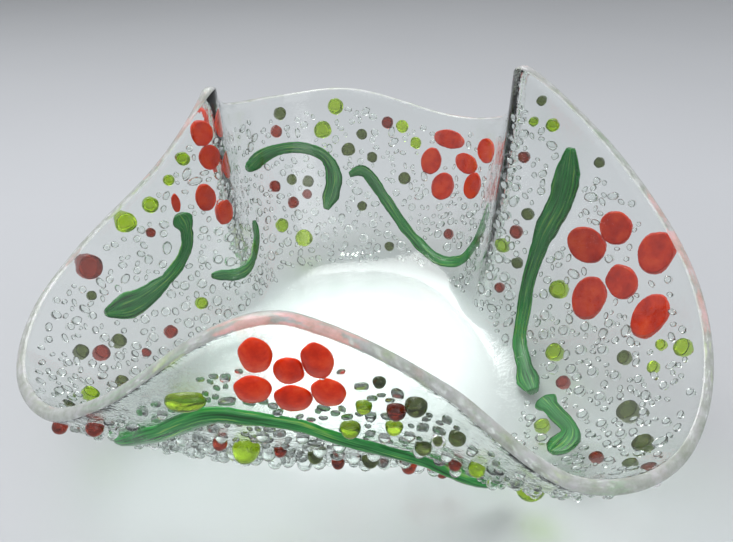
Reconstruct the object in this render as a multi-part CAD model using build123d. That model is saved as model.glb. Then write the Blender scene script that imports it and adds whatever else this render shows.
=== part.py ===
from build123d import *
import math
import os

os.makedirs("parts", exist_ok=True)

# Art glass flower bowl. One clear sheet, slumped in a kiln into a folded bowl, carries
# flowers, stems and drops of coloured glass that are fused to its outer face.
# Millimetres, +Z up. The origin is the centre of the round resting face, and -Y is the front.
# A place on the wall is given as (angle, share): degrees counter-clockwise from +X, and how
# far up the wall it is, from 0 at the edge of the resting face to 1 at the rim.

# ---- the sheet ----
BASE_RADIUS = 50.0        # flat round resting face
GLASS = 4.5               # thickness of the fused sheet
WALL_REACH = 81.0         # how far the widest lobe of the rim stands out past the resting face
RIM_HEIGHT = 111.0        # middle of the glass at the highest point of the rim
FOOT_BEND = 8.0           # how far the sheet runs on nearly level before it turns up
FOOT_SHARE = 0.4          # more of the same, as a share of the wall's reach
POLISH = 0.3              # round of the fire-polished rim, as a share of the glass

# Round the rim: (angle, share of WALL_REACH, share of RIM_HEIGHT).
RIM = [
    (0, 0.52, 0.80), (18, 0.22, 1.00), (32, 0.36, 0.84),        # tall fold on the right
    (45, 0.58, 0.67), (64, 0.72, 0.585), (90, 0.70, 0.685),     # broad back
    (110, 0.68, 0.685), (128, 0.48, 0.75),
    (148, 0.15, 0.92), (165, 0.33, 0.69), (182, 0.65, 0.485),   # tall fold on the left
    (195, 0.79, 0.415), (208, 0.86, 0.37), (220, 0.83, 0.385),  # low lobe, front left
    (232, 0.74, 0.51), (252, 0.64, 0.785), (264, 0.58, 0.81),   # front fold
    (285, 0.60, 0.585), (300, 0.88, 0.36), (317, 1.00, 0.335),  # low lobe, front right
    (340, 0.85, 0.53),
]

# ---- the coloured glass ----
PETAL_THICK = 4.0         # thickness of a petal before it sank into the sheet
STEM_THICK = 3.4
SINK = 0.35               # how far the middle of a drop stands off the face, share of its radius
OVAL_STEPS = 6            # how finely the face under a drop is searched, each way
OVAL_MARGIN = 1.6         # how far past the drop's own half width that search goes
OVAL_EDGE = 1.15          # square of how far out from the middle the face may touch, 1 = foot
SEAT_GAP = 0.3            # lift of a drop off the highest spot under it, so that it only touches
DROP_GAP = 0.25           # clear space kept between neighbouring pieces
REST_GAP = 0.8            # clear space kept between any drop and the table
CLEAR_DROPS = 90          # clear drops tried on each side
CLEAR_SMALL = 2.8         # their diameters
CLEAR_LARGE = 5.4
CLEAR_FROM = 0.35         # the stretch of the wall they cover, in shares
CLEAR_TO = 0.96

# Flowers: a heart drop first, then five petals: (angle, share, size round, size up).
FLOWERS = {
    "front": [(261.2, 0.90, 8, 10.5), (257, 0.945, 8, 13), (266, 0.942, 8, 13.5),
              (255, 0.862, 9.5, 11.5), (260.8, 0.818, 10, 11.5), (267, 0.858, 9, 12)],
    "right": [(348, 0.805, 14, 12), (357, 0.78, 16.5, 13.5), (354, 0.88, 12.5, 12.5),
              (347, 0.935, 13, 15.5), (350.5, 0.678, 13.5, 18), (340.5, 0.84, 12.5, 18)],
    "back": [(56, 0.84, 16, 9), (63, 0.92, 18, 9), (67, 0.82, 11, 13.5),
             (62, 0.725, 13, 14), (49.5, 0.895, 16, 11), (51.5, 0.755, 12, 13)],
    "left": [(151.5, 0.872, 8, 10.5), (153, 0.94, 8, 10.5), (143, 0.93, 8, 12),
             (155.5, 0.795, 8, 12), (142.5, 0.825, 8, 12), (149, 0.70, 8, 11)],
}

# Stems: width, width of the leaf, which end is drawn out into the leaf, and the places
# each one runs through.
STEMS = {
    "front_stem": (4.6, 8.5, "start",
                   [(225, 0.80), (236, 0.82), (246, 0.825), (252, 0.775), (259, 0.72),
                    (268, 0.665), (278, 0.63), (288, 0.60), (297, 0.56), (303, 0.52)]),
    "right_stem": (6.4, 10.5, "start",
                   [(6, 0.93), (5, 0.82), (6, 0.68), (4, 0.49), (355, 0.31), (342, 0.28),
                    (333, 0.32)]),
    "right_leaf": (6.4, 10.5, "end", [(330, 0.375), (325, 0.46), (320, 0.55), (313, 0.55)]),
    "back_leaf": (5.6, 9.0, "end",
                  [(124, 0.80), (114, 0.83), (105, 0.825), (98, 0.775), (96, 0.68),
                   (99.5, 0.55)]),
    "back_stem": (5.6, 9.0, "none",
                  [(91, 0.70), (86, 0.715), (79, 0.60), (69, 0.44), (56, 0.33), (45, 0.38),
                   (40, 0.52), (38, 0.70)]),
    "left_leaf": (5.2, 10.5, "end",
                  [(163, 0.83), (162.5, 0.77), (164.5, 0.71), (171, 0.675), (179, 0.69),
                   (186, 0.77)]),
    "left_stem": (5.2, 9.0, "none",
                  [(128, 0.60), (130, 0.51), (139, 0.43), (150, 0.44), (160, 0.53)]),
}
BUD = (163, 0.87, 3.6, 8)     # red bud at the tip of the left leaf

# Larger drops: (angle, share, diameter), with the stretch round the bowl where it is drawn out.
DROPS = {
    "front": {
        "lime": [(248, 0.62, 8.5), (304, 0.62, 9.5), (245, 0.905, 6, 1.9), (270, 0.74, 6),
                 (278, 0.80, 5), (272.5, 0.845, 4.5), (292, 0.80, 5)],
        "olive": [(281, 0.93, 6), (288, 0.90, 5), (275, 0.945, 3.5), (274, 0.52, 5.5),
                  (261, 0.50, 5), (284, 0.74, 5), (286, 0.82, 4.5)],
        "red": [(278, 0.875, 5.5), (284, 0.44, 5.5), (244, 0.68, 4.5), (266, 0.42, 4.5),
                (292, 0.45, 4.5), (228, 0.94, 5), (254, 0.56, 4), (290, 0.72, 4)],
    },
    "right": {
        "lime": [(357, 0.60, 8), (345, 0.44, 7.5), (338, 0.775, 4.5), (332, 0.82, 4.5),
                 (333, 0.92, 6.5), (335, 0.855, 4), (321, 0.42, 6), (10, 0.94, 5),
                 (14, 0.92, 3.6), (17, 0.58, 6)],
        "olive": [(325, 0.74, 8), (318, 0.84, 7), (336, 0.72, 5.5), (313, 0.86, 5),
                  (10, 0.56, 5), (1, 0.955, 4), (13, 0.965, 3.6), (11, 0.72, 5)],
        "red": [(335, 0.46, 5.5), (324, 0.36, 4.5), (314, 0.72, 5), (15, 0.84, 4.5),
                (13, 0.65, 5.5), (13, 0.42, 4.5), (312, 0.94, 5)],
    },
    "back": {
        "lime": [(94, 0.95, 8), (98, 0.875, 9), (76, 0.92, 6.5), (72, 0.875, 6),
                 (109, 0.42, 9), (116, 0.52, 7)],
        "olive": [(91, 0.80, 7), (87, 0.86, 5.5), (84, 0.78, 5.5), (74, 0.72, 6.5),
                  (87, 0.56, 5), (76, 0.34, 5), (109, 0.95, 6.5), (104, 0.69, 6),
                  (109, 0.71, 5.5)],
        "red": [(111, 0.895, 6), (80, 0.92, 6), (110, 0.61, 6), (105, 0.635, 5),
                (115, 0.70, 6), (55, 0.50, 5.5)],
    },
    "left": {
        "lime": [(168, 0.93, 6.5), (173, 0.945, 8.5), (159, 0.945, 5.5), (186, 0.64, 8),
                 (207, 0.74, 6.5), (167, 0.45, 5.5), (163, 0.94, 4.5)],
        "olive": [(197, 0.79, 6), (190, 0.66, 6), (185, 0.86, 4), (201, 0.60, 5),
                  (213, 0.86, 5)],
        "red": [(181.5, 0.93, 10), (195, 0.71, 6.5), (180, 0.46, 6), (219, 0.93, 5),
                (170, 0.86, 4), (190, 0.52, 4.5)],
    },
}

# Which stretch of the wall each side covers, in degrees.
SIDES = {"front": (225, 307), "right": (308, 382), "back": (32, 135), "left": (136, 224)}


# ---- the shape of the wall ----
def rim_at(angle):
    """Reach and height of the rim at any angle: a smooth closed curve through RIM."""
    angle %= 360
    last = max(k for k, place in enumerate(RIM) if place[0] <= angle)

    def station(k):
        turn, (a, reach, height) = k // len(RIM), RIM[k % len(RIM)]
        return (a + 360 * turn, BASE_RADIUS + reach * WALL_REACH, height * RIM_HEIGHT)

    before, start, end, after = (station(last + k) for k in (-1, 0, 1, 2))
    span = end[0] - start[0]
    u = (angle - start[0]) / span
    values = []
    for c in (1, 2):
        leave = (end[c] - before[c]) / (end[0] - before[0]) * span
        arrive = (after[c] - start[c]) / (after[0] - start[0]) * span
        values.append(
            (2 * u**3 - 3 * u**2 + 1) * start[c] + (u**3 - 2 * u**2 + u) * leave
            + (3 * u**2 - 2 * u**3) * end[c] + (u**3 - u**2) * arrive)
    return values


def mid_wall(angle, share):
    """A point in the middle of the glass: level at the foot, then rising to the rim."""
    reach, height = rim_at(angle)
    level = GLASS / 2
    turn = BASE_RADIUS + FOOT_BEND + FOOT_SHARE * (reach - BASE_RADIUS)
    start, bend, end = (1 - share)**2, 2 * share * (1 - share), share**2
    radius = start * BASE_RADIUS + bend * turn + end * reach
    z = (start + bend) * level + end * height
    a = math.radians(angle)
    return Vector(radius * math.cos(a), radius * math.sin(a), z)


def wall_frame(angle, share):
    """Directions round the wall, up the wall, and out of its outer face."""
    step = 0.02
    up = mid_wall(angle, min(1, share + step)) - mid_wall(angle, max(0, share - step))
    side = mid_wall(angle + 1, share) - mid_wall(angle - 1, share)
    out = side.cross(up).normalized()
    up = up.normalized()
    return up.cross(out).normalized(), up, out


def on_wall(angle, share, off):
    """A point a given distance out of the middle of the glass."""
    return mid_wall(angle, share) + wall_frame(angle, share)[2] * off


# ---- the sheet ----
ARCS = 4                  # each ring is made of this many smooth arcs, joined in line
ARC_POINTS = 18
LEVEL_COUNT = 18          # rings up the wall
LEVELS = [k / LEVEL_COUNT for k in range(1, LEVEL_COUNT + 1)]


def closed_ring(point_at):
    """A smooth closed curve round the bowl, in arcs that run on into each other."""
    span = 360 / ARCS
    steps = [k / ARC_POINTS for k in range(ARC_POINTS + 1)]
    arcs = []
    for n in range(ARCS):
        points = [point_at(span * (n + step)) for step in steps]
        ends = [(point_at(a + 0.5) - point_at(a - 0.5)).normalized()
                for a in (span * n, span * (n + 1))]
        arcs.append(Edge.make_spline(points, tangents=ends, parameters=steps))
    return Wire(arcs)


def base_ring(z):
    return closed_ring(lambda a: Vector(BASE_RADIUS * math.cos(math.radians(a)),
                                        BASE_RADIUS * math.sin(math.radians(a)), z))


def wall_ring(share, off):
    return closed_ring(lambda a: on_wall(a, share, off))


def crest_ring(off, lift):
    """Part of the rim's edge, rounded over by the fire."""
    return closed_ring(lambda a: on_wall(a, 1, off) + wall_frame(a, 1)[1] * lift)


def make_sheet():
    """Narrow smooth strips from ring to ring: outside, over the rim, and down the inside."""
    half, crown = GLASS / 2, GLASS * POLISH
    rings = [base_ring(0)] + [wall_ring(share, half) for share in LEVELS]
    rings += [crest_ring(half * 0.6, crown), crest_ring(-half * 0.6, crown)]
    rings += [wall_ring(share, -half) for share in reversed(LEVELS)] + [base_ring(GLASS)]
    strips = Shell.make_loft(rings, ruled=True)
    return Solid(Shell(strips.faces() + [Face(rings[0]), Face(rings[-1])]))


# ---- what is fused on ----
def seat(angle, share):
    """A plane on the outer face: X round the bowl, Y up the wall, Z out of the glass."""
    side, up, out = wall_frame(angle, share)
    return Plane(origin=on_wall(angle, share, GLASS / 2), x_dir=side, z_dir=out)


def rise_under(place, angle, share, offsets):
    """How far the curved face rises through a plane laid on it, at these (round, up) offsets."""
    per_degree = (mid_wall(angle + 0.5, share) - mid_wall(angle - 0.5, share)).length
    per_share = (mid_wall(angle, share + 0.005) - mid_wall(angle, share - 0.005)).length * 100
    highest = 0.0
    for dx, dy in offsets:
        near = on_wall(angle + dx / per_degree, min(1, share + dy / per_share), GLASS / 2)
        highest = max(highest, (near - place.origin).dot(place.z_dir))
    return highest


def rise_in_oval(place, angle, share, wide, high):
    """How far the curved face rises through a flat oval laid on it, however sharp the fold."""
    per_degree = (mid_wall(angle + 0.5, share) - mid_wall(angle - 0.5, share)).length
    per_share = (mid_wall(angle, share + 0.005) - mid_wall(angle, share - 0.005)).length * 100
    highest = 0.0
    for i in range(-OVAL_STEPS, OVAL_STEPS + 1):
        for k in range(-OVAL_STEPS, OVAL_STEPS + 1):
            turn = angle + OVAL_MARGIN * i / OVAL_STEPS * wide / per_degree
            up = min(1, share + OVAL_MARGIN * k / OVAL_STEPS * high / per_share)
            off = on_wall(turn, up, GLASS / 2) - place.origin
            across, along = off.dot(place.x_dir), off.dot(place.y_dir)
            if (across / wide)**2 + (along / high)**2 < OVAL_EDGE:
                highest = max(highest, off.dot(place.z_dir))
    return highest


def drop(angle, share, width, height, thick):
    """A drop of glass, rounded by the kiln and flat where it stands on the sheet."""
    place = seat(angle, share)
    foot = math.sqrt(1 - SINK**2) / 2
    rise = rise_in_oval(place, angle, share, foot * width, foot * height)
    lift = rise + SEAT_GAP + SINK * thick / 2
    ball = Solid.make_sphere(thick / 2, angle1=-math.degrees(math.asin(SINK)), angle2=90)
    if (width, height) != (thick, thick):
        ball = scale(ball, by=(width / thick, height / thick, 1)).solid()
    return place.offset(lift).location * ball


def stem_width(stem, leaf, leaf_end, share_along):
    """A stem keeps its width, and swells into a leaf over one third of its length."""
    along = share_along if leaf_end == "end" else 1 - share_along
    swell = 0 if leaf_end == "none" else max(0.0, math.sin(math.pi * (along - 0.62) / 0.42))
    tip = min(1.0, 6 * share_along + 0.45, 6 * (1 - share_along) + 0.45)
    return (stem + (leaf - stem) * swell) * tip


def stem_path(places):
    """The places as a smooth line of (angle, share), without the jump past 360 degrees."""
    line = [places[0]]
    for angle, share in places[1:]:
        while angle - line[-1][0] > 180:
            angle -= 360
        while angle - line[-1][0] < -180:
            angle += 360
        line.append((angle, share))
    return Edge.make_spline([Vector(a, 100 * s, 0) for a, s in line])


def make_stem(stem, leaf, leaf_end, places):
    """Rounded sections with a flat foot, strung along the outer face and lofted into one rod."""
    path = stem_path(places)
    count = 3 * len(places)
    spots = []
    for k in range(count + 1):
        p = path.position_at(k / count)
        spots.append((p.X, p.Y / 100))
    sections = []
    for k, (angle, share) in enumerate(spots):
        ahead, behind = spots[min(count, k + 1)], spots[max(0, k - 1)]
        along = on_wall(*ahead, GLASS / 2) - on_wall(*behind, GLASS / 2)
        place = seat(angle, share)
        wide = along.cross(place.z_dir).normalized()
        half = stem_width(stem, leaf, leaf_end, k / count) / 2
        edges = [(reach * half * wide.dot(place.x_dir), reach * half * wide.dot(place.y_dir))
                 for reach in (-1, -0.5, 0.5, 1)]
        lift = rise_under(place, angle, share, edges) + SEAT_GAP
        foot = place.origin + place.z_dir * lift
        left, right = foot - wide * half, foot + wide * half
        crown = foot + place.z_dir * STEM_THICK * min(1, 2.4 * half / stem)
        shoulder = (crown - foot) * 0.72
        top = Edge.make_spline([left, left * 0.75 + foot * 0.25 + shoulder, crown,
                                right * 0.75 + foot * 0.25 + shoulder, right],
                               parameters=[0, 0.25, 0.5, 0.75, 1])
        sections.append(Wire([top, Edge.make_line(right, left)]))
    return Solid.make_loft(sections, ruled=False)


taken = []      # balls (centre, radius) that fused pieces already fill


def has_room(centre, radius):
    if centre.Z - radius < REST_GAP:
        return False
    return all((centre - c).length > radius + r + DROP_GAP for c, r in taken)


def write(name, solids):
    """One piece, or one group of separate pieces, in its own file."""
    shape = solids[0] if len(solids) == 1 else Compound(children=solids)
    export_step(shape, f"parts/{name}.step")


sheet = make_sheet()
write("glass_sheet", [sheet])


for side, petals in FLOWERS.items():
    for k, (angle, share, width, height) in enumerate(petals):
        name = f"{side}_flower_heart" if k == 0 else f"{side}_flower_petal_{k}"
        write(name, [drop(angle, share, width, height, PETAL_THICK)])
        taken.append((seat(angle, share).origin, max(width, height) / 2))

for name, (stem, leaf, leaf_end, places) in STEMS.items():
    write(name, [make_stem(stem, leaf, leaf_end, places)])
    path = stem_path(places)
    for k in range(41):
        p = path.position_at(k / 40)
        spot = on_wall(p.X, p.Y / 100, GLASS / 2)
        taken.append((spot, stem_width(stem, leaf, leaf_end, k / 40) / 2))

angle, share, width, height = BUD
write("left_bud", [drop(angle, share, width, height, width)])
taken.append((seat(angle, share).origin, height / 2))

for side, colours in DROPS.items():
    for colour, drops in colours.items():
        solids = []
        for angle, share, size, *stretch in drops:
            width = size * (stretch[0] if stretch else 1)
            spot = seat(angle, share).offset(SINK * size / 2).origin
            if has_room(spot, width / 2):
                solids.append(drop(angle, share, width, size, size))
                taken.append((spot, width / 2))
        write(f"{side}_{colour}_drops", solids)

# Clear drops are strewn in the golden ratio, which leaves no rows and no bare patches.
GOLDEN = (math.sqrt(5) - 1) / 2
for side, (start, end) in SIDES.items():
    solids = []
    for k in range(CLEAR_DROPS):
        angle = start + (end - start) * (k + 0.5) / CLEAR_DROPS
        share = CLEAR_FROM + (CLEAR_TO - CLEAR_FROM) * (k * GOLDEN % 1)
        size = CLEAR_SMALL + (CLEAR_LARGE - CLEAR_SMALL) * (k * GOLDEN * GOLDEN % 1)
        spot = seat(angle, share).offset(SINK * size / 2).origin
        if has_room(spot, size / 2):
            solids.append(drop(angle, share, size, size, size))
            taken.append((spot, size / 2))
    write(f"{side}_clear_drops", solids)
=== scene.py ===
# %% [markdown]
# # A folded bowl of fused art glass
# The real bowl began as a flat round disc of clear glass. Flowers, stems and grains of
# coloured glass were laid on it and melted in, and a second firing let the soft disc sag
# into folds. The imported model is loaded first, because every size and place comes from it.

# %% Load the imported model
import math
import random

import bmesh
import bpy
from mathutils import Matrix, Vector, noise
from mathutils.bvhtree import BVHTree


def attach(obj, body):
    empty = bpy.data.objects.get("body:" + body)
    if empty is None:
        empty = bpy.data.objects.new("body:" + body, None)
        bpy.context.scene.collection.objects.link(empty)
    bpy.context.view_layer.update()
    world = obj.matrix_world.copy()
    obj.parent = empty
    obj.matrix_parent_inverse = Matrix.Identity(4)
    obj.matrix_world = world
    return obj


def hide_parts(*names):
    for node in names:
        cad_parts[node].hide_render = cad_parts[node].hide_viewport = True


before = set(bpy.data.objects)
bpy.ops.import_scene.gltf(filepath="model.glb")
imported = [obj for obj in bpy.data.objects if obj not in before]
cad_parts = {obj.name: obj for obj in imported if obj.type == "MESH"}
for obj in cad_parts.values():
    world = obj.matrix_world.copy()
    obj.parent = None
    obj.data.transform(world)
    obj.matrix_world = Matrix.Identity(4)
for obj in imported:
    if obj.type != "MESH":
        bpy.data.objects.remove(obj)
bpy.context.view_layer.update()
MM = 0.001
print("nodes in the packed model:", len(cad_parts))

# %% [markdown]
# ## The camera
# Set up first, because what it sees decides how fine each piece has to be. It stands close
# in front of the bowl and looks down into it, which is why the front fold looks so large.

# %% Camera
LOOK_DOWN = math.radians(33.2)
LEAN = math.radians(-1.6)
DISTANCE = 293.4 * MM
SIDE_STEP, RISE = 4.6 * MM, 33.9 * MM
LENS = 34.38

forward = Vector((0, math.cos(LOOK_DOWN), -math.sin(LOOK_DOWN)))
level = Vector((1, 0, 0))
up = level.cross(forward)
across = level * math.cos(LEAN) + up * math.sin(LEAN)
above = up * math.cos(LEAN) - level * math.sin(LEAN)
camera = bpy.data.objects.new("camera", bpy.data.cameras.new("camera"))
camera.data.lens = LENS
camera.data.sensor_width = 36
camera.data.clip_start = 0.01
turn = Matrix((across, above, -forward)).transposed().to_4x4()
camera.matrix_world = Matrix.Translation(across * SIDE_STEP + above * RISE
                                         - forward * DISTANCE) @ turn
bpy.context.collection.objects.link(camera)
bpy.context.scene.camera = camera
print("camera height in mm:", round(camera.matrix_world.translation.z / MM))

# %% [markdown]
# ## Finishes
# Every finish is a small net of nodes. One function makes a node, gives it its settings and
# joins its inputs, and one turns a written colour into the linear light that shaders use.

# %% Helpers for finishes
def linear(code, strength=1.0):
    """An sRGB hex colour as linear red, green, blue and alpha."""
    parts = [int(code[k:k + 2], 16) / 255 for k in (1, 3, 5)]
    return [strength * (c / 12.92 if c <= 0.04045 else ((c + 0.055) / 1.055)**2.4)
            for c in parts] + [1.0]


def add(tree, kind, settings=None, **links):
    """Adds a node. A link or a value is named by its socket, with _ for a space."""
    node = tree.nodes.new(kind)
    for name, value in (settings or {}).items():
        setattr(node, name, value)
    for name, value in links.items():
        socket = node.inputs[int(name[1:])] if name[1:].isdigit() else node.inputs[
            name.replace("_", " ")]
        if isinstance(value, bpy.types.NodeSocket):
            tree.links.new(value, socket)
        else:
            socket.default_value = value
    return node


def new_finish(name):
    """An empty material with its output node."""
    material = bpy.data.materials.new(name)
    material.use_nodes = True
    material.node_tree.nodes.clear()
    return material, material.node_tree


def close_finish(tree, shader):
    add(tree, "ShaderNodeOutputMaterial", Surface=shader.outputs[0])


def let_light_by(tree, shader, tint):
    """Shadow rays cross the glass with only a little loss, as they do round a clear bowl."""
    path = add(tree, "ShaderNodeLightPath")
    clear = add(tree, "ShaderNodeBsdfTransparent", Color=tint)
    return add(tree, "ShaderNodeMixShader", i0=path.outputs["Is Shadow Ray"],
               i1=shader.outputs[0], i2=clear.outputs[0])


def ramp(tree, factor, stops):
    """Colours strewn along a factor, given as (place, hex colour)."""
    node = add(tree, "ShaderNodeValToRGB", Fac=factor)
    while len(node.color_ramp.elements) < len(stops):
        node.color_ramp.elements.new(0.5)
    for element, (place, code) in zip(node.color_ramp.elements, stops):
        element.position = place
        element.color = linear(code)
    return node


# %% [markdown]
# ### Clear soda-lime glass, fire polished
# Window-type glass has an IOR of 1.52 and a faint green that shows only through its edge.
# Kiln work leaves its skin a little uneven: a slow ripple from the heat, and fine pits from
# the shelf that the disc lay on. Both are bumps, so that the highlights break up as they do
# on the real bowl.

# %% Clear glass
SHELF_PITS = 1.4 * MM
HEAT_RIPPLE = 9 * MM


def clear_glass(name, tint, pits):
    """Clear glass; pits is how strongly the shelf marked it."""
    material, tree = new_finish(name)
    place = add(tree, "ShaderNodeTexCoord").outputs["Object"]
    fine = add(tree, "ShaderNodeTexNoise", Vector=place, Scale=1 / SHELF_PITS, Detail=2.0)
    slow = add(tree, "ShaderNodeTexNoise", Vector=place, Scale=1 / HEAT_RIPPLE, Detail=1.0)
    ripple = add(tree, "ShaderNodeBump", Height=slow.outputs[0], Strength=0.12,
                 Distance=1.2 * MM)
    skin = add(tree, "ShaderNodeBump", Height=fine.outputs[0], Strength=pits,
               Distance=0.12 * MM, Normal=ripple.outputs[0])
    shader = add(tree, "ShaderNodeBsdfPrincipled", Base_Color=linear(tint), Roughness=0.02,
                 IOR=1.52, Transmission_Weight=1.0, Normal=skin.outputs[0])
    close_finish(tree, let_light_by(tree, shader, linear("#EEF3F0")))
    return material


sheet_glass = clear_glass("clear soda-lime sheet, slumped", "#F8FBF9", 0.5)
drop_glass = clear_glass("clear soda-lime frit, fire polished", "#F6FAF8", 0.1)

# %% [markdown]
# ### The rim's edge, with painted light
# Seen end-on, the edge reads as a pale greenish band with bright streaks, not as a clear
# pane; that is light from above entering the edge. Plain clear glass comes out nearly black
# there, so that light is painted into the finish: a pale green-grey colour with painted white
# highlights in streaks, and about half of the light is scattered instead of let through.
# That is a choice for looks and not how the glass itself behaves.

# %% Rim glass
RIM_PAINTED_STREAK = 5 * MM


def rim_glass_with_painted_light(name):
    material, tree = new_finish(name)
    place = add(tree, "ShaderNodeTexCoord").outputs["Object"]
    streak = add(tree, "ShaderNodeTexNoise", Vector=place, Scale=1 / RIM_PAINTED_STREAK, Detail=4.0,
                 Roughness=0.7)
    # painted light: pale green-grey to white streaks stand in for light entering the edge from
    # above, with painted highlights at the white end
    paint = ramp(tree, streak.outputs[0], [(0.3, "#D2DACA"), (0.5, "#EEF2EA"),
                                           (0.62, "#FFFFFF")])
    skin = add(tree, "ShaderNodeBump", Height=streak.outputs[0], Strength=0.4,
               Distance=0.3 * MM)
    shader = add(tree, "ShaderNodeBsdfPrincipled", Base_Color=paint.outputs[0],
                 Roughness=0.08, IOR=1.52, Transmission_Weight=0.55,
                 Normal=skin.outputs[0])
    close_finish(tree, let_light_by(tree, shader, linear("#E6EDE6")))
    return material


edge_glass_with_painted_light = rim_glass_with_painted_light("clear soda-lime edge, painted light")

# %% [markdown]
# ### Coloured see-through glass
# Lime, olive and red-brown grains are tinted right through, so light picks up more colour
# the longer its way through the grain. Transmission with a strong base colour does the same
# at every surface that the light crosses.

# %% Tinted glass
TINT_DRIFT = 14 * MM


def tinted_glass(name, deep, bright):
    """See-through coloured glass, whose tint drifts a little from grain to grain."""
    material, tree = new_finish(name)
    place = add(tree, "ShaderNodeTexCoord").outputs["Object"]
    drift = add(tree, "ShaderNodeTexNoise", Vector=place, Scale=1 / TINT_DRIFT, Detail=2.0)
    tint = ramp(tree, drift.outputs[0], [(0.35, deep), (0.65, bright)])
    shader = add(tree, "ShaderNodeBsdfPrincipled", Base_Color=tint.outputs[0],
                 Roughness=0.03, IOR=1.52, Transmission_Weight=0.92)
    close_finish(tree, let_light_by(tree, shader, linear(bright)))
    return material


lime_glass = tinted_glass("lime green frit", "#9CC21E", "#C8E63C")
olive_glass = tinted_glass("olive green frit", "#5D6B33", "#7C8A4A")
red_brown_glass = tinted_glass("red-brown frit", "#8A2A16", "#B3402A")

# %% [markdown]
# ### Opal glass for the flowers
# Orange-red opal glass is nearly opaque, because selenium and cadmium grains scatter the
# light inside it. It stays glossy on top. Its colour runs from orange where it is thick to
# brick red, and thin places let a little light through.

# %% Opal glass
OPAL_CLOUD = 6 * MM


def opal_glass(name):
    material, tree = new_finish(name)
    place = add(tree, "ShaderNodeTexCoord").outputs["Object"]
    cloud = add(tree, "ShaderNodeTexNoise", Vector=place, Scale=1 / OPAL_CLOUD, Detail=4.0,
                Roughness=0.6)
    colour = ramp(tree, cloud.outputs[0], [(0.3, "#BE2408"), (0.5, "#DC350F"),
                                           (0.72, "#EE5220")])
    shader = add(tree, "ShaderNodeBsdfPrincipled", Base_Color=colour.outputs[0],
                 Roughness=0.2, IOR=1.52, Specular_IOR_Level=0.22,
                 Subsurface_Weight=0.25, Subsurface_Radius=(1.6 * MM, 0.5 * MM, 0.2 * MM),
                 Subsurface_Scale=1.0)
    close_finish(tree, shader)
    return material


opal = opal_glass("orange-red opal glass")

# %% [markdown]
# ### Streaky glass for the stems
# The stems were pulled as thin rods, so their colour is drawn out into streaks of deep
# green, mid green and a little yellow along the rod. A noise on the rod's own map, short
# across and long along, draws them.

# %% Streaky glass
STREAK_WIDTH = 0.9 * MM
STREAK_LENGTH = 22 * MM


def streaky_glass(name):
    material, tree = new_finish(name)
    along = add(tree, "ShaderNodeUVMap", {"uv_map": "rod"})
    drawn = add(tree, "ShaderNodeMapping", Vector=along.outputs[0],
                Scale=(1 / STREAK_LENGTH, 1 / STREAK_WIDTH, 1))
    streak = add(tree, "ShaderNodeTexNoise", Vector=drawn.outputs[0], Scale=1.0, Detail=3.0,
                 Roughness=0.55)
    colour = ramp(tree, streak.outputs[0], [(0.32, "#0E4A1C"), (0.46, "#1C7A34"),
                                            (0.58, "#37A048"), (0.72, "#A6CE58")])
    ridge = add(tree, "ShaderNodeBump", Height=streak.outputs[0], Strength=0.35,
                Distance=0.25 * MM)
    shader = add(tree, "ShaderNodeBsdfPrincipled", Base_Color=colour.outputs[0],
                 Roughness=0.14, IOR=1.52, Transmission_Weight=0.15,
                 Normal=ridge.outputs[0])
    close_finish(tree, shader)
    return material


green_streaks = streaky_glass("streaky green glass, hand pulled")
print("finishes:", len(bpy.data.materials))

# %% [markdown]
# ## The shape of the wall
# The disc's rim was let down in folds. The rim is a smooth closed curve through a few
# stations round the bowl, and the wall swings up to it from the flat round foot. The same
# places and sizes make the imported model, so everything that follows lies where it does.

# %% Wall
BASE_RADIUS, GLASS = 50.0, 4.5
WALL_REACH, RIM_HEIGHT = 81.0, 111.0
FOOT_BEND, FOOT_SHARE = 8.0, 0.4
CROWN = 0.24 * GLASS
RIM = [(0, 0.52, 0.80), (18, 0.22, 1.00), (32, 0.36, 0.84), (45, 0.58, 0.67),
       (64, 0.72, 0.585), (90, 0.70, 0.685), (110, 0.68, 0.685), (128, 0.48, 0.75),
       (148, 0.15, 0.92), (165, 0.33, 0.69), (182, 0.65, 0.485), (195, 0.79, 0.415),
       (208, 0.86, 0.37), (220, 0.83, 0.385), (232, 0.74, 0.51), (252, 0.64, 0.785),
       (264, 0.58, 0.81), (285, 0.60, 0.585), (300, 0.88, 0.36), (317, 1.00, 0.335),
       (340, 0.85, 0.53)]


def rim_at(angle):
    """Reach and height of the rim at any angle."""
    angle %= 360
    last = max(k for k, place in enumerate(RIM) if place[0] <= angle)

    def station(k):
        turn, (a, reach, height) = k // len(RIM), RIM[k % len(RIM)]
        return (a + 360 * turn, BASE_RADIUS + reach * WALL_REACH, height * RIM_HEIGHT)

    before, start, end, after = (station(last + k) for k in (-1, 0, 1, 2))
    span = end[0] - start[0]
    u = (angle - start[0]) / span
    values = []
    for c in (1, 2):
        leave = (end[c] - before[c]) / (end[0] - before[0]) * span
        arrive = (after[c] - start[c]) / (after[0] - start[0]) * span
        values.append((2 * u**3 - 3 * u**2 + 1) * start[c] + (u**3 - 2 * u**2 + u) * leave
                      + (3 * u**2 - 2 * u**3) * end[c] + (u**3 - u**2) * arrive)
    return values


def mid_wall(angle, share):
    """A point in the middle of the glass, in millimetres."""
    reach, height = rim_at(angle)
    bend_at = BASE_RADIUS + FOOT_BEND + FOOT_SHARE * (reach - BASE_RADIUS)
    start, bend, end = (1 - share)**2, 2 * share * (1 - share), share**2
    radius = start * BASE_RADIUS + bend * bend_at + end * reach
    z = (start + bend) * GLASS / 2 + end * height
    a = math.radians(angle)
    return Vector((radius * math.cos(a), radius * math.sin(a), z))


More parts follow.
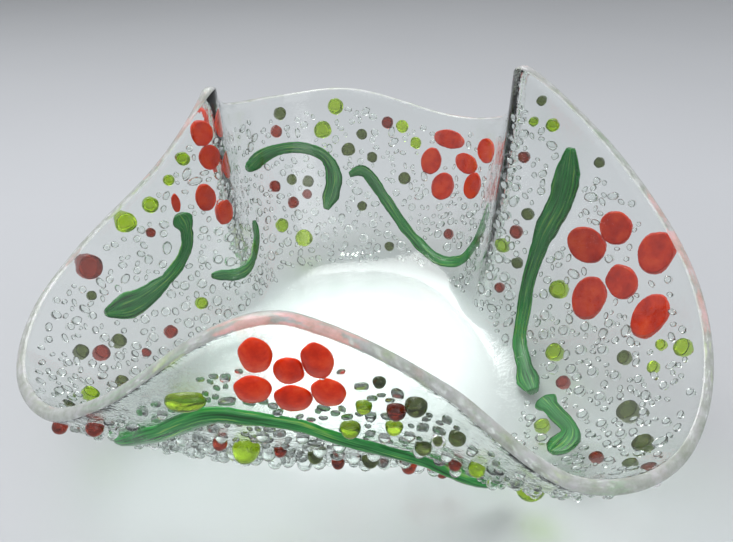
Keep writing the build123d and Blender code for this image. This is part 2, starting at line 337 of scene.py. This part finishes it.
def wall_frame(angle, share):
    """Directions round the wall, up the wall, and out of its outer face."""
    rise = mid_wall(angle, min(1, share + 0.02)) - mid_wall(angle, max(0, share - 0.02))
    side = mid_wall(angle + 1, share) - mid_wall(angle - 1, share)
    out = side.cross(rise).normalized()
    rise.normalize()
    return rise.cross(out).normalized(), rise, out


def on_wall(angle, share, off):
    """A point off the middle of the glass, in metres."""
    return (mid_wall(angle, share) + wall_frame(angle, share)[2] * off) * MM


print("rim stations:", len(RIM))

# %% [markdown]
# ## The sheet
# One closed skin: up the outside, over the fire-rounded rim and down the inside, with a flat
# disc below and another inside. A plain grid is made first, and each of its points is then
# carried to its place on the wall. A slow wave, which only thins the glass and by a tenth of
# a millimetre at most, makes things seen through it swim. It fades out towards the rim.

# %% Build the sheet
AROUND, UP_ROWS, RIM_ROWS = 360, 40, 8
WAVE = 0.10
RIM_THINNED = 0.16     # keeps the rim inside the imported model's box, which is a little smaller


def finish_piece(name, bm, material, smooth=True):
    """Turns a bmesh, whose faces the caller has already turned outwards, into an object at the
    origin.
    """
    mesh = bpy.data.meshes.new(name)
    bm.to_mesh(mesh)
    bm.free()
    mesh.materials.append(material)
    if smooth:
        mesh.polygons.foreach_set("use_smooth", [True] * len(mesh.polygons))
    piece = bpy.data.objects.new(name, mesh)
    bpy.context.collection.objects.link(piece)
    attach(piece, "root")
    return piece


def skin_point(angle, row):
    """Rows run up the outside, over the rim and down the inside."""
    half = GLASS / 2 - RIM_THINNED * max(0, 1 - abs(row - UP_ROWS - RIM_ROWS / 2) / UP_ROWS)
    if row <= UP_ROWS:
        share, off, lift = row / UP_ROWS, half, 0
    elif row < UP_ROWS + RIM_ROWS:
        turn = math.pi * (row - UP_ROWS) / RIM_ROWS
        share, off, lift = 1, half * math.cos(turn), CROWN * math.sin(turn)
    else:
        share, off, lift = (2 * UP_ROWS + RIM_ROWS - row) / UP_ROWS, -half, 0
    point = on_wall(angle, share, off)
    side, rise, out = wall_frame(angle, share)
    if share == 0:
        level = 0 if off > 0 else GLASS
        a = math.radians(angle)
        return Vector((BASE_RADIUS * math.cos(a), BASE_RADIUS * math.sin(a), level)) * MM
    wave = -WAVE * min(1, 6 * share, 6 * (1 - share)) * abs(noise.noise(point * 90))
    wave = wave if off > 0 else -wave
    return point + (rise * lift + out * wave) * MM


sheet = bmesh.new()
rows = 2 * UP_ROWS + RIM_ROWS
bmesh.ops.create_grid(sheet, x_segments=AROUND, y_segments=rows, size=0.5)
for face in sheet.faces:
    row = (face.calc_center_median().y + 0.5) * rows
    face.material_index = int(UP_ROWS < row < UP_ROWS + RIM_ROWS)
for vert in sheet.verts:
    vert.co = skin_point(360 * (vert.co.x + 0.5), round((vert.co.y + 0.5) * rows))
bmesh.ops.remove_doubles(sheet, verts=sheet.verts, dist=1e-6)
open_edges = [edge for edge in sheet.edges if edge.is_boundary]
bmesh.ops.holes_fill(sheet, edges=open_edges, sides=0)
bmesh.ops.recalc_face_normals(sheet, faces=sheet.faces)
face_finder = BVHTree.FromBMesh(sheet)
glass_sheet = finish_piece("slumped_sheet", sheet, sheet_glass)
# the rim rows get the edge finish, whose pale colour is painted light
glass_sheet.data.materials.append(edge_glass_with_painted_light)
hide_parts("glass_sheet")
print("sheet faces:", len(glass_sheet.data.polygons), "edges closed:", len(open_edges))

# %% [markdown]
# ## Reading where each grain lies
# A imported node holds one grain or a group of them. A copy of its mesh is merged, split into
# its separate grains, and each one is measured along the wall: how wide round the bowl, how
# high up the wall, and how thick. New grains are then blown in the same places.

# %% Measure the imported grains
def grains_of(node):
    """Each separate grain of a node: its place on the outer face, directions and sizes."""
    bm = bmesh.new()
    bm.from_mesh(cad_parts[node].data)
    bmesh.ops.remove_doubles(bm, verts=bm.verts, dist=1e-6)
    waiting = set(bm.verts)
    grains = []
    for first in bm.verts:      # in mesh order, so that every run numbers the grains alike
        if first not in waiting:
            continue
        waiting.remove(first)
        edge_of_search = [first]
        found = [first]
        while edge_of_search:
            vert = edge_of_search.pop()
            for edge in vert.link_edges:
                other = edge.other_vert(vert)
                if other in waiting:
                    waiting.remove(other)
                    edge_of_search.append(other)
                    found.append(other)
        grains.append(measure_grain([vert.co.copy() for vert in found]))
    bm.free()
    return grains


def measure_grain(points):
    middle = sum(points, Vector()) / len(points)
    foot, normal, _, _ = face_finder.find_nearest(middle)
    out = (middle - foot).normalized()
    side = Vector((0, 0, 1)).cross(out).normalized()
    rise = out.cross(side).normalized()
    spans = []
    for direction in (side, rise, out):
        along = [(point - foot).dot(direction) for point in points]
        spans.append(max(along) - min(along))
    return {"foot": foot, "side": side, "rise": rise, "out": out, "size": spans}


print("grains in one group:", len(grains_of("front_lime_drops")))

# %% [markdown]
# ## Blowing the grains
# A melted grain is a low dome whose foot has sunk into the sheet. Each one starts as a small
# ball, is sliced flat a little way inside the sheet so that no air gap shows, is stretched
# to its measured size, and is pushed about by a soft noise, because no grain melts evenly.

# %% Grain maker
SUNK = 0.45 * MM


def add_grain(bm, grain, fineness, lumps, seed):
    """One dome of glass, standing on the sheet with its foot just inside it."""
    made = bmesh.ops.create_icosphere(bm, subdivisions=fineness, radius=1.0)["verts"]
    floor = -0.42
    faces = dict.fromkeys(face for vert in made for face in vert.link_faces)
    edges = dict.fromkeys(edge for vert in made for edge in vert.link_edges)
    cut = bmesh.ops.bisect_plane(bm, geom=list(made) + list(edges) + list(faces),
                                 plane_co=(0, 0, floor), plane_no=(0, 0, -1),
                                 clear_outer=True)
    rim = [item for item in cut["geom_cut"] if isinstance(item, bmesh.types.BMEdge)]
    bmesh.ops.contextual_create(bm, geom=rim)
    for edge in rim:
        edge.smooth = False
    made = [vert for vert in made if vert.is_valid]
    made += [v for v in cut["geom_cut"] if isinstance(v, bmesh.types.BMVert)]
    wide, high, thick = grain["size"]
    frame_of = Matrix((grain["side"], grain["rise"], grain["out"])).transposed()
    tall = (thick + SUNK) / (1 - floor)
    for vert in made:
        push = 1 + lumps * noise.noise(vert.co * 1.3 + Vector((seed * 7.1, seed * 3.3, 0)))
        local = Vector((vert.co.x * wide / 2 * push, vert.co.y * high / 2 * push,
                        (vert.co.z - floor) * tall - SUNK))
        vert.co = grain["foot"] + frame_of @ local


def blow(node, name, material, fineness, lumps):
    """New grains for all of a node's grains, in one piece that replaces it."""
    bm = bmesh.new()
    grains = grains_of(node)
    for k, grain in enumerate(grains):
        add_grain(bm, grain, fineness, lumps, k + len(node))
    bmesh.ops.recalc_face_normals(bm, faces=bm.faces)
    piece = finish_piece(name, bm, material)
    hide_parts(node)
    return grains


SIDES = ["front", "right", "back", "left"]
GRAIN_GLASS = {"lime": lime_glass, "olive": olive_glass, "red": red_brown_glass,
               "clear": drop_glass}
grain_places = []
for side in SIDES:
    for colour, material in GRAIN_GLASS.items():
        grain_places += blow(f"{side}_{colour}_drops", f"{side}_{colour}_grains", material,
                             3 if colour != "clear" else 2, 0.12)
print("grains blown:", len(grain_places))

# %% [markdown]
# ## Flowers
# A flower is six nuggets of opal glass: a heart and five petals round it. They are thicker
# and finer than the grains, and their outlines are uneven.

# %% Flowers
for side in SIDES:
    for part in ["heart"] + [f"petal_{k}" for k in range(1, 6)]:
        node = f"{side}_flower_{part}"
        grain_places += blow(node, f"{side}_opal_{part}", opal, 4, 0.09)
grain_places += blow("left_bud", "left_opal_bud", opal, 3, 0.1)
print("flower nuggets:", 4 * 6 + 1)

# %% [markdown]
# ## Stems
# Each stem is one pulled rod that was bent cold-soft over the disc and melted flat, with a
# broader leaf at one end. A ring of points is extruded along the rod's route, turned and
# widened at every step, and the route lies on the outer face.

# %% Stem maker
STEM_THICK = 3.4
STEMS = {   # width, width of the leaf, the leaf's end, and the places on the wall
    "front_stem": (4.6, 8.5, "start",
                   [(225, 0.80), (236, 0.82), (246, 0.825), (252, 0.775), (259, 0.72),
                    (268, 0.665), (278, 0.63), (288, 0.60), (297, 0.56), (303, 0.52)]),
    "right_stem": (6.4, 10.5, "start",
                   [(366, 0.93), (365, 0.82), (366, 0.68), (364, 0.49), (355, 0.31),
                    (342, 0.28), (333, 0.32)]),
    "right_leaf": (6.4, 10.5, "end", [(330, 0.375), (325, 0.46), (320, 0.55), (313, 0.55)]),
    "back_leaf": (5.6, 9.0, "end",
                  [(124, 0.80), (114, 0.83), (105, 0.825), (98, 0.775), (96, 0.68),
                   (99.5, 0.55)]),
    "back_stem": (5.6, 9.0, "none",
                  [(91, 0.70), (86, 0.715), (79, 0.60), (69, 0.44), (56, 0.33), (45, 0.38),
                   (40, 0.52), (38, 0.70)]),
    "left_leaf": (5.2, 10.5, "end",
                  [(163, 0.83), (162.5, 0.77), (164.5, 0.71), (171, 0.675), (179, 0.69),
                   (186, 0.77)]),
    "left_stem": (5.2, 9.0, "none",
                  [(128, 0.60), (130, 0.51), (139, 0.43), (150, 0.44), (160, 0.53)]),
}
RING = 14


def smooth_route(places, steps):
    """Points along a smooth curve through the places, as (angle, share)."""
    ends = [places[0]] + places + [places[-1]]
    route = []
    for k in range(len(places) - 1):
        a, b, c, d = ends[k:k + 4]
        for n in range(steps):
            u = n / steps
            route.append(tuple(
                0.5 * (2 * b[i] + (c[i] - a[i]) * u + (2 * a[i] - 5 * b[i] + 4 * c[i] - d[i])
                       * u**2 + (3 * b[i] - a[i] - 3 * c[i] + d[i]) * u**3)
                for i in (0, 1)))
    return route + [places[-1]]


def stem_width(stem, leaf, leaf_end, done):
    along = done if leaf_end == "end" else 1 - done
    swell = 0 if leaf_end == "none" else max(0.0, math.sin(math.pi * (along - 0.62) / 0.42))
    tip = min(1.0, 6 * done + 0.45, 6 * (1 - done) + 0.45)
    return (stem + (leaf - stem) * swell) * tip


def pull_stem(name, stem, leaf, leaf_end, places):
    """Extrudes an oval ring along the route, with a map whose first axis runs along it."""
    route = smooth_route(places, 10)
    bm = bmesh.new()
    uv = bm.loops.layers.uv.new("rod")
    ring = bmesh.ops.create_circle(bm, segments=RING, radius=1.0)["verts"]
    shape = [vert.co.copy() for vert in ring]
    loops, length, last = [], 0.0, None
    for k, (angle, share) in enumerate(route):
        if k:
            edges = [edge for edge in bm.edges
                     if edge.verts[0] in ring and edge.verts[1] in ring]
            grown = bmesh.ops.extrude_edge_only(bm, edges=edges)["geom"]
            new = [item for item in grown if isinstance(item, bmesh.types.BMVert)]
            partner = {}
            for vert in new:
                for edge in vert.link_edges:
                    if edge.other_vert(vert) in ring:
                        partner[edge.other_vert(vert)] = vert
            ring = [partner[vert] for vert in ring]
        ahead, behind = route[min(len(route) - 1, k + 1)], route[max(0, k - 1)]
        centre = on_wall(angle, share, GLASS / 2)
        run = on_wall(*ahead, GLASS / 2) - on_wall(*behind, GLASS / 2)
        out = wall_frame(angle, share)[2]
        wide = run.cross(out).normalized()
        done = k / (len(route) - 1)
        half = stem_width(stem, leaf, leaf_end, done) / 2 * MM
        half *= 1 + 0.16 * noise.noise(centre * 160)
        thick = STEM_THICK * MM * min(1, 2.4 * half / (stem * MM))
        length += (centre - last).length if last else 0
        last = centre
        for vert, place in zip(ring, shape):
            lift = place.y * thick * 0.72 if place.y > 0 else place.y * SUNK * 1.6
            wobble = 1 + 0.08 * noise.noise((centre + wide * place.x * 0.002) * 700)
            vert.co = centre + wide * place.x * half * wobble + out * lift * wobble
        loops.append((list(ring), length))
    bmesh.ops.contextual_create(bm, geom=loops[0][0])
    bmesh.ops.contextual_create(bm, geom=loops[-1][0])
    place_of = {vert: (done, k / RING) for verts, done in loops
                for k, vert in enumerate(verts)}
    for face in bm.faces:
        for loop in face.loops:
            done, turn = place_of[loop.vert]
            loop[uv].uv = (done, math.sin(2 * math.pi * turn) * stem * MM)
    bmesh.ops.recalc_face_normals(bm, faces=bm.faces)
    piece = finish_piece(name, bm, green_streaks)
    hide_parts(name.replace("pulled_", ""))
    return piece


for name, (stem, leaf, leaf_end, places) in STEMS.items():
    piece = pull_stem(f"pulled_{name}", stem, leaf, leaf_end, places)
    print(name, "faces:", len(piece.data.polygons))

# %% [markdown]
# ## Fine frit
# Between the larger grains the real wall is strewn with fine clear frit. Places are drawn at
# random from a fixed seed, and a grain is kept only where it touches no petal, stem or other
# grain. How many there are is an estimate, and no single grain copies a real one's place.

# %% Fine frit
FRIT_TRIES = 5200
FRIT_SMALL, FRIT_LARGE = 1.9 * MM, 4.4 * MM
SIDE_OF = {"front": (225, 307), "right": (308, 382), "back": (32, 135), "left": (136, 224)}
chance = random.Random(11)
filled = [(grain["foot"], (grain["size"][0] + grain["size"][1]) / 4) for grain in grain_places]
for stem, leaf, leaf_end, places in STEMS.values():
    route = smooth_route(places, 12)
    filled += [(on_wall(*spot, GLASS / 2),
                stem_width(stem, leaf, leaf_end, k / (len(route) - 1)) / 2 * MM)
               for k, spot in enumerate(route)]
strewn = {side: [] for side in SIDE_OF}
for _ in range(FRIT_TRIES):
    side = chance.choice(list(SIDE_OF))
    angle = chance.uniform(*SIDE_OF[side])
    share = 0.2 + 0.74 * chance.random()**0.8
    size = FRIT_SMALL + (FRIT_LARGE - FRIT_SMALL) * chance.random()**1.8
    foot = on_wall(angle, share, GLASS / 2)
    if foot.z < 2.6 * MM + size / 2:
        continue
    if any((foot - other).length < size / 2 + radius + 0.15 * MM for other, radius in filled):
        continue
    filled.append((foot, size / 2))
    side_way, rise, out = wall_frame(angle, share)
    turned = chance.uniform(0, math.pi)
    across_way = side_way * math.cos(turned) + rise * math.sin(turned)
    strewn[side].append({"foot": foot, "side": across_way, "rise": out.cross(across_way),
                         "out": out, "size": (size * chance.uniform(0.8, 1.0),
                                              size * chance.uniform(1.0, 1.5), size * 0.42)})
for side, grains in strewn.items():
    bm = bmesh.new()
    for k, grain in enumerate(grains):
        add_grain(bm, grain, 2, 0.14, k)
    bmesh.ops.recalc_face_normals(bm, faces=bm.faces)
    finish_piece(f"{side}_fine_frit", bm, drop_glass)
print("fine grains:", {side: len(grains) for side, grains in strewn.items()})

# %% [markdown]
# ## The floor and the light
# A flat pale floor, painted darker with distance as painted shade where the light falls off,
# two large soft lights and a grey room all round. Clear glass shows mostly what is behind it,
# so the light is kept broad. A spot lamp over the foot stands in for the light that the bowl
# gathers there.

# %% Floor
floor_finish, tree = new_finish("pale satin floor")
speck = add(tree, "ShaderNodeTexNoise", Vector=add(tree, "ShaderNodeTexCoord").outputs["Object"],
            Scale=6.0, Detail=2.0)
depth = add(tree, "ShaderNodeSeparateXYZ",
            Vector=add(tree, "ShaderNodeTexCoord").outputs["Object"])
# painted shade: the floor's colour runs from pale near the bowl to darker grey far off, standing
# in for the light falling off; the speck noise adds a faint mottle
painted_falloff = add(tree, "ShaderNodeMapRange", Value=depth.outputs[1], From_Min=-0.25, From_Max=0.8)
mottle_and_painted_falloff = add(tree, "ShaderNodeMath", {"operation": "MULTIPLY_ADD"}, i0=speck.outputs[0],
             i1=0.05, i2=painted_falloff.outputs[0])
paint = ramp(tree, mottle_and_painted_falloff.outputs[0], [(0.02, "#C2C4C6"), (0.4, "#B8BABD"), (0.95, "#77797B")])
close_finish(tree, add(tree, "ShaderNodeBsdfPrincipled", Base_Color=paint.outputs[0],
                       Roughness=0.4, Specular_IOR_Level=0.3))
floor_bm = bmesh.new()
bmesh.ops.create_grid(floor_bm, x_segments=2, y_segments=2, size=3.0)
floor_mesh = bpy.data.meshes.new("floor")
floor_bm.to_mesh(floor_mesh)
floor_bm.free()
floor_mesh.materials.append(floor_finish)
floor = bpy.data.objects.new("floor", floor_mesh)
floor.location.z = -0.4 * MM
bpy.context.collection.objects.link(floor)

# %% Lights
bpy.context.scene.view_settings.view_transform = "Standard"
world = bpy.data.worlds.new("grey room")
world.use_nodes = True
world.node_tree.nodes["Background"].inputs["Color"].default_value = linear("#E4E6EA")
world.node_tree.nodes["Background"].inputs["Strength"].default_value = 0.95
bpy.context.scene.world = world


def soft_light(name, place, aim, size, power):
    lamp = bpy.data.lights.new(name, "AREA")
    lamp.shape = "SQUARE"
    lamp.size = size
    lamp.energy = power
    holder = bpy.data.objects.new(name, lamp)
    holder.location = place
    holder.rotation_euler = (Vector(aim) - Vector(place)).to_track_quat("-Z", "Y").to_euler()
    bpy.context.collection.objects.link(holder)
    return holder


soft_light("window", (-0.25, 0.45, 0.9), (0, 0, 0), 0.7, 6)
soft_light("room", (0.6, -0.8, 0.9), (0, 0, 0.05), 0.8, 2)
gather = bpy.data.lights.new("light gathered by the bowl", "SPOT")
gather.energy = 9
gather.spot_size = 2 * math.atan(0.056 / 0.6)
gather.spot_blend = 0.25
gather.shadow_soft_size = 0.02
gathered = bpy.data.objects.new("light gathered by the bowl", gather)
gathered.location = (0, 0, 0.6)
bpy.context.collection.objects.link(gathered)
print("lights:", 3)
